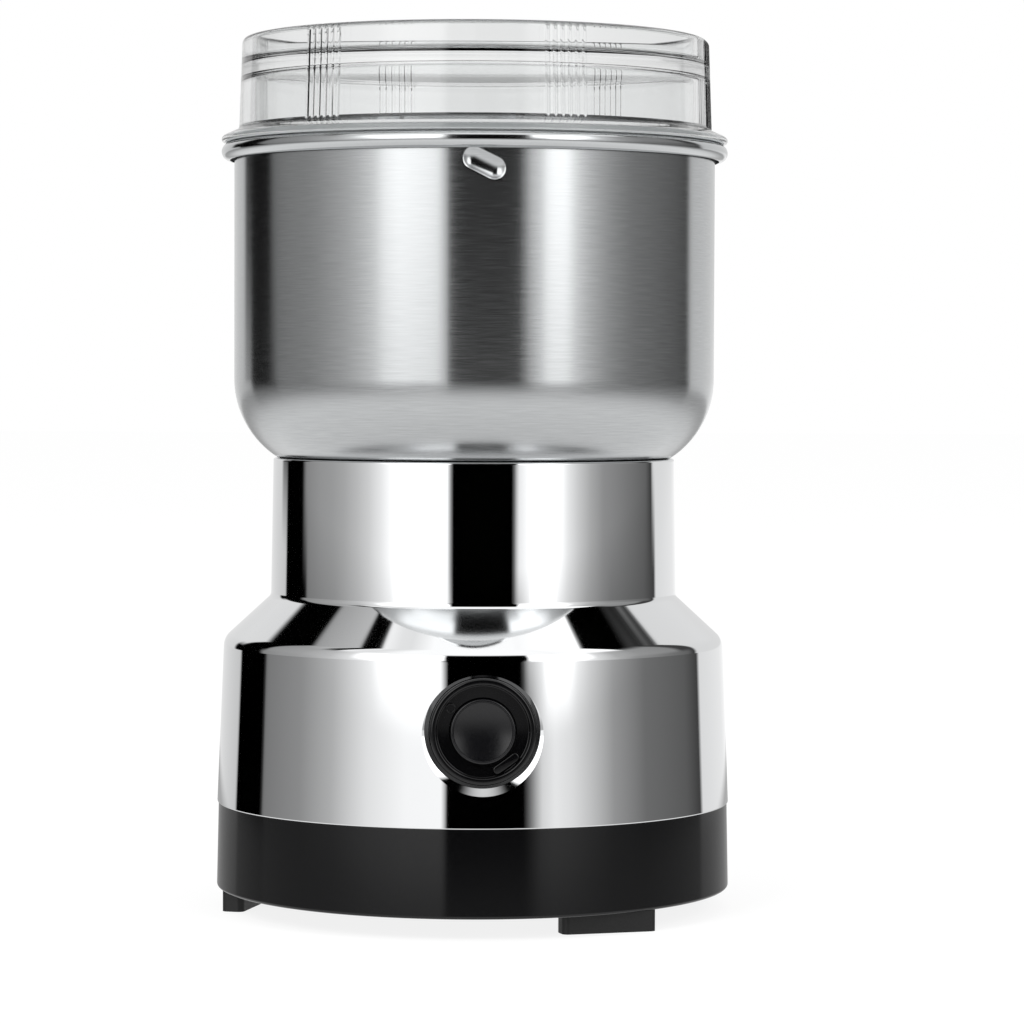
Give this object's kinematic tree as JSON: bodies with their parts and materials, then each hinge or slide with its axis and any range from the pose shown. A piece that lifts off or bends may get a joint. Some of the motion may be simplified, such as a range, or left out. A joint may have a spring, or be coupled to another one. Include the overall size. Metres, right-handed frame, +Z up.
{
  "type": "grain grinder",
  "caption": "Small electric grain grinder: chrome motor housing on a black base, push button, steel bowl with spinning blades, and a clear lid that twists and lifts off.",
  "frame": {"origin": "on the table under the bowl's axis, at the middle of the feet's undersides", "axes": "+Z up along the bowl's and motor's axis, -Y towards the user and the push button, +Y towards the cord inlet"},
  "size_m": [0.1016, 0.1016, 0.1714],
  "materials": {
    "black_gloss": "glossy black",
    "foot_rubber": "matt black",
    "zinc_steel": "zinc plated",
    "chrome_shell": "mirror chrome plating",
    "brushed_bowl": "finely brushed stainless steel",
    "bright_steel": "bright",
    "black_rubber": "matt",
    "black_plastic": "matt",
    "bronze": "plain",
    "lamination": "stacked steel sheet",
    "copper_wire": "varnished copper wire",
    "carbon": "pressed carbon",
    "spring_steel": "ground",
    "fan_plastic": "moulded nylon",
    "blade_steel": "ground stainless steel",
    "red_plastic": "moulded",
    "clear_silicone": "milky",
    "clear_plastic": "clear moulded plastic"
  },
  "bodies": {
    "grinder": {"base_cover": "black_gloss", "feet": "foot_rubber", "base_screws": "zinc_steel", "housing": "chrome_shell", "bowl": "brushed_bowl", "bowl_hub": "bright_steel", "hub_nut": "zinc_steel", "hub_gasket": "black_rubber", "shaft_seal": "black_rubber", "motor_upper_bracket": "zinc_steel", "motor_lower_bracket": "black_plastic", "upper_bearing": "bronze", "lower_bearing": "bronze", "stator_core": "lamination", "field_coils": "copper_wire", "motor_bolts": "zinc_steel", "motor_dampers": "black_rubber", "damper_screws": "zinc_steel", "brush_holders": "bronze", "carbon_brushes": "carbon", "brush_springs": "spring_steel", "button_bezel": "black_gloss", "switch_body": "black_plastic", "cord_gland": "black_rubber"},
    "rotor": {"motor_shaft": "spring_steel", "armature_core": "lamination", "armature_windings": "copper_wire", "commutator": "bronze", "cooling_fan": "fan_plastic", "blade_spacer": "bright_steel", "lower_blade": "blade_steel", "upper_blade": "blade_steel", "blade_nut": "bright_steel"},
    "button": {"push_button": "black_gloss", "button_spring": "spring_steel"},
    "switch": {"switch_plunger": "red_plastic"},
    "seal": {"lid_seal": "clear_silicone"},
    "cover": {"lid": "clear_plastic"}
  },
  "joints": [
    {"name": "rotor_spin", "type": "hinge", "parent": "grinder", "child": "rotor", "pos_m": [0, 0, 0], "axis": [0, 0, 1], "continuous": true},
    {"name": "button_press", "type": "slide", "parent": "grinder", "child": "button", "axis": [0, 1, 0], "range_m": [0, 0.002], "stiffness_N_per_m": 300, "springref_m": -0.001, "deforming": ["button_spring"]},
    {"name": "switch_press", "type": "slide", "parent": "grinder", "child": "switch", "axis": [0, 1, 0], "range_m": [0, 0.002]},
    {"name": "lid_lift", "type": "slide", "parent": "grinder", "child": "seal", "axis": [0, 0, 1], "range_m": [0, 0.06]},
    {"name": "lid_twist", "type": "hinge", "parent": "seal", "child": "cover", "pos_m": [0, 0, 0.151], "axis": [0, 0, 1], "range_deg": [0, 25]}
  ],
  "couplings": [
    {"joint": "switch_press", "follows": "button_press", "ratio": 1}
  ]
}
